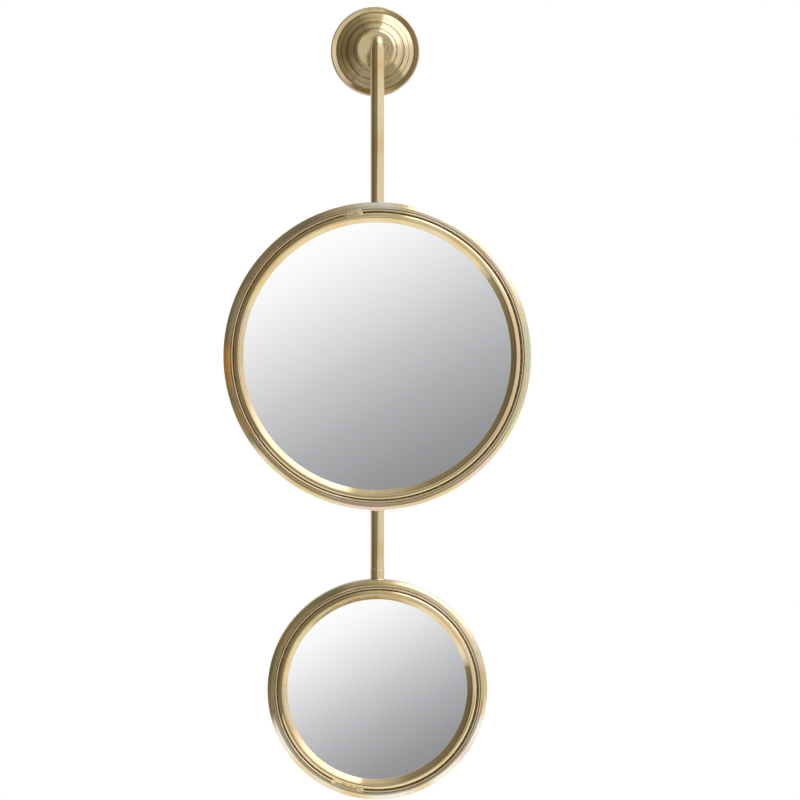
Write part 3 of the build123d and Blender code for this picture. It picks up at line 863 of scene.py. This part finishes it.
def build_back_sheet(prefix, material):
    """Back plate of sheet brass with two shallow pressed rings."""
    low, high = box_mm(f"{prefix}_back_plate")
    edge = half_width(f"{prefix}_back_plate")
    near, far = low.y - ROD_Y, high.y - ROD_Y
    sunk = far - 0.45
    outer, inner = edge - 16.0, 0.42 * edge
    corners = [
        (0, near, 0), (edge, near, 0.3), (edge, far, 0.4),
        (outer, far, 0.8), (outer - 1.0, sunk, 0.8), (outer - 4.0, sunk, 0.8), (outer - 5.0, far, 0.8),
        (inner + 1.5, far, 0.8), (inner, sunk, 1.2), (inner - 2.0, sunk, 1.2), (inner - 3.5, far, 0.8),
        (0, far, 0),
    ]
    cover = turned_mirror(f"{prefix}_back_sheet", prefix, corners)
    return place_piece(cover, f"{prefix}_mirror", "brass_sheet", material, f"{prefix}_back_plate")


def filled_front(offset):
    """Depth of a frame's front with its groove filled, at an offset inwards of its edge."""
    crest = [
        (0.5, -7.05), (2.0, -8.05), (4.0, -8.78), (6.3, -9.2), (9.0, -9.28), (11.5, -9.5),
        (13.0, -9.2), (14.0, -7.6),
    ]
    for (a, depth_a), (b, depth_b) in zip(crest, crest[1:]):
        if offset <= b:
            return depth_a + (depth_b - depth_a) * (offset - a) / (b - a)
    return crest[-1][1]


def solder_depth(u, v, offset, seed):
    """Depth of the solder's skin at a share u round and v across it, thinning to a ragged edge."""
    rim_width, sink = 0.34, 0.5
    ragged = noise.noise(Vector((9.0 * u, 7.0 * v, seed)))
    inside = min(u, 1 - u, v, 1 - v) * 2 + 0.25 * ragged
    rise = max(0.0, min(1.0, inside / rim_width))
    rise = rise * rise * (3 - 2 * rise)
    lump = 0.05 * noise.noise(Vector((4.0 * u, 3.0 * v, seed + 5.0)))
    return max(filled_front(offset) + sink - sink * rise + lump * rise, FRONT_LIMIT)


def build_solder(prefix, angles, offsets, material):
    """Lump of solder over a frame's groove between two angles and two offsets from its edge."""
    rounds, steps = 48, 36
    floor, thickness = -7.2, 0.4
    (first, last), (low, high) = angles, offsets
    centre, radius = mirror_centre(prefix), MIRRORS[prefix]["radius"]
    grown = bmesh.new()
    top, under = {}, {}
    for i in range(rounds + 1):
        for j in range(steps + 1):
            u, v = i / rounds, j / steps
            angle = math.radians(first + (last - first) * u)
            offset = low + (high - low) * v
            depth = solder_depth(u, v, offset, first)
            spot = centre + Vector((math.cos(angle), 0, math.sin(angle))) * (radius - offset)
            top[i, j] = grown.verts.new((spot + Vector((0, depth, 0))) * MM)
            under[i, j] = grown.verts.new((spot + Vector((0, max(floor, depth + thickness), 0))) * MM)
    for i in range(rounds):
        for j in range(steps):
            grown.faces.new((top[i, j], top[i + 1, j], top[i + 1, j + 1], top[i, j + 1]))
            grown.faces.new((under[i, j + 1], under[i + 1, j + 1], under[i + 1, j], under[i, j]))
    sides = [((i, j), (i + 1, j)) for i in range(rounds) for j in (0, steps)]
    sides += [((i, j), (i, j + 1)) for j in range(steps) for i in (0, rounds)]
    for a, b in sides:
        grown.faces.new((under[a], under[b], top[b], top[a]))
    lump = object_from(f"{prefix}_solder", grown)
    smooth_by_angle(lump, math.radians(50))
    return place_piece(lump, f"{prefix}_mirror", "brass_band", material)


def build_back_screws(prefix, material):
    """Slotted round-head screws of the back plate, each slot left at its own angle."""
    low, high = box_mm(f"{prefix}_back_screws")
    end, start = high.y - ROD_Y, low.y - ROD_Y
    shank, head, head_height = 1.2, 2.4, 1.5
    circle = MIRRORS[prefix]["radius"] - 10.9
    slot_reach, slot_half, slot_depth, cutter_spare = 4, 0.35, 0.8, 2.0
    from_wall = Matrix(((1, 0, 0), (0, 0, 1), (0, -1, 0))).to_4x4()
    count, first = MIRRORS[prefix]["screws"], MIRRORS[prefix]["first_screw"]
    base = end - head_height
    corners = [
        (0, start, 0), (shank, start, 0), (shank, base, 0), (head, base, 0.1),
        *arc((head, base + 0.35), (1.5, end - 0.32), (0.0, end), 8),
    ]
    slot = [(x * slot_reach, z * slot_half) for x, z in ((-1, -1), (1, -1), (1, 1), (-1, 1))]
    dice = random.Random(count)
    meshes = []
    for k in range(count):
        turn = math.radians(first + 360 * k / count)
        where = mirror_centre(prefix) + Vector((math.cos(turn), 0, math.sin(turn))) * circle
        screw = turned("back_screw", corners, where, segments=64)
        lean = Matrix.Rotation(dice.uniform(0, math.pi), 4, "Y")
        put = Matrix.Translation(where * MM) @ lean @ from_wall
        carve(screw, prism("slot_cutter", slot, end - slot_depth, end + cutter_spare, put))
        meshes.append(screw.data)
        bpy.data.objects.remove(screw)
    screws = join(f"{prefix}_back_fasteners", meshes)
    smooth_by_angle(screws)
    return place_piece(screws, f"{prefix}_mirror", "steel", material, f"{prefix}_back_screws")


# ---- stage
def look_at(made, target):
    """Point an object's -Z at a place."""
    made.rotation_euler = (Vector(target) - made.location).to_track_quat("-Z", "Y").to_euler()


def build_camera():
    """Level camera a little to the left, at the height of the large mirror's lower half."""
    height = -0.3285
    camera = bpy.data.objects.new("camera", bpy.data.cameras.new("camera"))
    bpy.context.collection.objects.link(camera)
    camera.location = (-0.058, -2.350, height)
    look_at(camera, (0.0205, -0.086, height))
    camera.data.sensor_width = 36.0
    camera.data.lens = 112.0
    bpy.context.scene.camera = camera
    return camera


def flat_card(name, corners, material):
    """Four-cornered card of the stage."""
    mesh = bpy.data.meshes.new(name)
    mesh.from_pydata(corners, [], [(0, 1, 2, 3)])
    mesh.materials.append(material)
    return new_object(name, mesh)


def level(left, right, front, back, height):
    """Corners of a level rectangle."""
    return [(left, front, height), (right, front, height), (right, back, height), (left, back, height)]


def build_reflector(prefix, camera):
    """Graded white card behind the camera that this mirror shows to it, fading out at its edges."""
    behind, spare, fade_from = 1.05, 1.5, 0.82
    brighter_way, dimmed_by_glass = (-30.0, 0, 54.0), 0.937
    glass_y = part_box(f"{prefix}_glass")[0][1]
    centre = Vector((0, glass_y, MIRRORS[prefix]["z"] * MM))
    eye = camera.location.copy()
    ghost = Vector((eye.x, 2 * glass_y - eye.y, eye.z))
    reach = (eye.y - behind - ghost.y) / (glass_y - ghost.y)
    half = (MIRRORS[prefix]["radius"] - OPENING) * MM * reach * spare
    corners = [(-half, 0, half), (half, 0, half), (half, 0, -half), (-half, 0, -half)]
    shader = Shader(f"{prefix}_reflector")
    card = flat_card(f"{prefix}_reflector", corners, shader.material)
    card.location = ghost + (centre - ghost) * reach
    slope = Vector(brighter_way).normalized() * (spare / half)
    dot = shader.add("ShaderNodeVectorMath", {0: shader.place, 1: slope}, operation="DOT_PRODUCT")
    level = shader.math("MULTIPLY_ADD", dot.outputs["Value"], 0.5, 0.5)
    shades = [(0.0, 144, 145, 147), (0.1, 152, 153, 155), (0.3, 174, 175, 177), (0.5, 200, 200, 202),
              (0.7, 226, 226, 226), (0.9, 248, 248, 246), (1.0, 253, 253, 251)]
    tone = shader.ramp(level, [(at, srgb(*rgb)) for at, *rgb in shades])
    emit = shader.add("ShaderNodeEmission", {"Color": tone, "Strength": 1.0 / dimmed_by_glass})
    across, _, up = shader.split(shader.place)
    outwards = shader.math("MAXIMUM", shader.math("ABSOLUTE", across), shader.math("ABSOLUTE", up))
    solid = shader.fit(outwards, fade_from * half, half, 1.0, 0.0)
    clear = shader.add("ShaderNodeBsdfTransparent")
    soft = shader.add("ShaderNodeMixShader", {0: solid, 1: clear.outputs[0], 2: emit.outputs[0]})
    shader.show(soft)
    card.visible_camera = False
    card.visible_diffuse = False


def build_world():
    """Studio light by direction: bright from the upper right, dim from the left, pale elsewhere."""
    strength, neutral = 2.5, 0.62
    world = bpy.data.worlds.new("studio")
    bpy.context.scene.world = world
    world.use_nodes = True
    sky = Nodes(world.node_tree, "ShaderNodeOutputWorld")

    def ring_of_light(value, stops):
        """Ramp over the angle about the Y axis in degrees; dim light is warm and bright light cool."""
        colours = []
        for angle, level in stops:
            warmth = min(1.0, max(0.0, (neutral - level) / 0.4))
            chill = min(1.0, max(0.0, (level - neutral) / 0.6))
            tint = (1.0, 1.0 - 0.07 * warmth, 1.0 - 0.24 * warmth + 0.20 * chill)
            colours.append(((angle + 180) / 360, (*[level * part / strength for part in tint], 1)))
        return sky.ramp(value, colours)

    way = sky.split(sky.add("ShaderNodeTexCoord").outputs["Generated"])
    turn = sky.math("ARCTAN2", way[2], way[0])
    share = sky.math("MULTIPLY_ADD", turn, 1 / (2 * math.pi), 0.5)
    near = ring_of_light(share, [
        (-180, 0.3), (-150, 0.26), (-120, 0.42), (-95, 0.60), (-60, 0.76), (-25, 0.78), (0, 0.84),
        (20, 1.05), (40, 0.80), (74, 0.70), (84, 0.60), (100, 0.40), (114, 0.23), (145, 0.28), (180, 0.3),
    ])
    wide = ring_of_light(share, [
        (-180, 0.18), (-152, 0.33), (-125, 0.7), (-95, 0.95), (-60, 1.12), (-28, 0.95), (0, 0.92),
        (18, 1.05), (34, 1.9), (74, 2.3), (79, 0.8), (96, 0.6), (110, 0.31), (145, 0.24), (180, 0.18),
    ])
    back = ring_of_light(share, [
        (-180, 0.8), (-120, 0.6), (-60, 0.5), (-30, 0.55), (0, 0.9), (40, 0.9), (80, 0.5), (120, 0.5),
        (180, 0.8),
    ])
    lit = sky.mix(sky.fit(way[1], -0.77, -0.67), near, wide)
    lit = sky.mix(sky.fit(way[1], 0.36, 0.5), lit, back)
    studio = sky.add("ShaderNodeBackground", {"Color": lit, "Strength": strength})
    white = sky.add("ShaderNodeBackground", {"Color": (1, 1, 1, 1), "Strength": 1.0})
    seen = sky.add("ShaderNodeLightPath").outputs["Is Camera Ray"]
    sky.show(sky.add("ShaderNodeMixShader", {0: seen, 1: studio.outputs[0], 2: white.outputs[0]}))


def build_floor():
    """Plain pale floor far below the mirror, which no reflection shows."""
    shader = Shader("floor")
    shader.finish({
        "Base Color": (0.8, 0.8, 0.79, 1), "Roughness": 0.9, "Specular IOR Level": 0.0,
        "Emission Color": (1, 1, 1, 1), "Emission Strength": 0.34,
    })
    floor = flat_card("floor", level(-16, 16, -20, 4.2, height=-1.5), shader.material)
    floor.visible_glossy = False


def build_table():
    """Bright card under the mirrors that only reflections show, dimmer towards the camera.

    Its dimming starts nearer the wall in the middle than at the sides, and it fades at its left end.
    """
    left, right, front, back = -1.05, 2.2, -2.0, 0.6
    shader = Shader("table")
    spot = shader.split(shader.place)
    nearness = shader.math("MULTIPLY_ADD", shader.math("ABSOLUTE", spot[0]), 0.6, spot[1])
    left_fade = shader.fit(spot[0], left, -0.75, 0.6, 1.0)
    glow = shader.math("MULTIPLY", left_fade, shader.fit(nearness, -0.60, -0.42, 0.42, 1.1))
    shader.show(shader.add("ShaderNodeEmission", {"Color": (1, 1, 1, 1), "Strength": glow}))
    table = flat_card("table", level(left, right, front, back, height=-1.02), shader.material)
    table.visible_camera = False
    table.visible_diffuse = False


# ---- assembly
def band_stains_and_light(prefix):
    """Patches on a frame's band, as (place, reach, colour, strength): copper, olive, pink and green
    tarnish, pale and white painted highlights where the band shows bright reflections, and deep patches
    that are partly tarnish and partly painted shade.
    """
    inwards, depth = 3, -8.5
    reach_out = MIRRORS[prefix]["radius"] - inwards

    def round_at(angle):
        """Place on the band's front at an angle from +X towards +Z."""
        turn = math.radians(angle)
        spoke = Vector((math.cos(turn), 0, math.sin(turn)))
        return mirror_centre(prefix) + spoke * reach_out + Vector((0, depth, 0))

    spots = {
        "large": [
            (183, 34, COPPER_STAIN, 1.0), (204, 22, COPPER_STAIN, 0.4), (158, 24, PALE_BRASS, 0.6),
            (120, 34, OLIVE_STAIN, 0.4), (238, 30, DEEP_BRASS, 0.9), (264, 30, PINK_STAIN, 0.6),
            (287, 26, DEEP_BRASS, 0.6), (312, 26, PINK_STAIN, 0.45), (337, 30, GREEN_STAIN, 0.4),
            (3, 30, GREEN_STAIN, 0.6), (38, 30, PINK_STAIN, 0.4), (62, 36, PAINTED_HIGHLIGHT, 0.5),
            (91, 26, PAINTED_HIGHLIGHT, 0.7),
        ],
        "small": [
            (180, 22, PALE_BRASS, 0.9), (150, 22, COPPER_STAIN, 0.3), (118, 24, OLIVE_STAIN, 0.3),
            (86, 26, DEEP_BRASS, 1.0), (92, 16, OLIVE_STAIN, 0.35), (208, 30, PAINTED_HIGHLIGHT, 0.7),
            (240, 28, PAINTED_HIGHLIGHT, 0.3), (275, 30, PAINTED_HIGHLIGHT, 0.8), (310, 30, PAINTED_HIGHLIGHT, 0.9),
            (322, 14, PINK_STAIN, 0.6), (337, 26, PAINTED_HIGHLIGHT, 0.9), (5, 24, DEEP_BRASS, 0.9),
        ],
    }
    return [(round_at(angle), reach, colour, share) for angle, reach, colour, share in spots[prefix]]


def band_brass(prefix):
    """Brass of a frame's band: hand polished, patchy and stained, with painted highlights and painted shade
    in patches.
    """
    return brass(f"{prefix}_band_brass", roughness=0.09, stains_and_light=band_stains_and_light(prefix), relief=2.2,
                 ripple=0.000004, mottle=0.75)


def build_mirror(prefix, bezel_brass, bright_brass, sheet_brass, glass, screw_steel):
    """Every visible piece of one mirror except its solder."""
    build_band(prefix, band_brass(prefix))
    build_wire(prefix, bright_brass)
    build_bezel(prefix, bezel_brass)
    build_pane(prefix, glass)
    build_back_sheet(prefix, sheet_brass)
    build_back_screws(prefix, screw_steel)


def dress_hidden_nodes(materials):
    """Give the CAD nodes in these slots their material, including those that stay out of sight."""
    slots = {entry["node"]: entry["material_slot"] for entry in frame["record"]["subparts"]}
    for node, made in frame["nodes"].items():
        if slots[node] in materials:
            made.data.materials.clear()
            made.data.materials.append(materials[slots[node]])


def main():
    """Build every piece, then the stage."""
    bright = brass("bright_brass", (BRASS, BRASS, PALE_BRASS), roughness=0.08, relief=0.0)
    rose_brass = brass("rose_brass", roughness=0.07, streak=(3.0, 3.0, 5200.0), ripple=0.00006)
    rod_brass = brass("rod_brass", roughness=0.06, streak=(120.0, 120.0, 40.0))
    bezel_brass = brass("bezel_brass", roughness=0.07)
    sheet_brass = brass("sheet_brass", (DULL_BRASS, DEEP_BRASS, BRASS), roughness=0.24,
                        streak=(4.0, 4.0, 3400.0), ripple=0.000004)
    screw_steel = steel("zinc_steel")
    glass = silvered_glass("silvered_glass")
    build_rose(rose_brass)
    build_arm(rod_brass)
    build_tube(rod_brass)
    build_clamp_boss(rod_brass)
    build_clamp_screw(rod_brass)
    build_lower_rod(rod_brass)
    build_swivel_collar(rod_brass)
    build_swivel_washer("upper_swivel_washer", "large_mirror", bright)
    build_swivel_washer("lower_swivel_washer", "small_mirror", bright)
    for prefix in MIRRORS:
        build_mirror(prefix, bezel_brass, bright, sheet_brass, glass, screw_steel)
    solder = brass("brazing", roughness=0.2)
    build_solder("large", (96.0, 103.5), (4.6, 12.4), solder)
    build_solder("small", (243.0, 262.0), (5.4, 9.8), solder)
    dress_hidden_nodes({
        "steel": screw_steel, "brass_rod": rod_brass, "brass_bead": bright, "felt": felt("pressed_felt"),
    })
    camera = build_camera()
    build_world()
    build_floor()
    build_table()
    for prefix in MIRRORS:
        build_reflector(prefix, camera)
    bpy.context.scene.view_settings.view_transform = "Standard"


main()
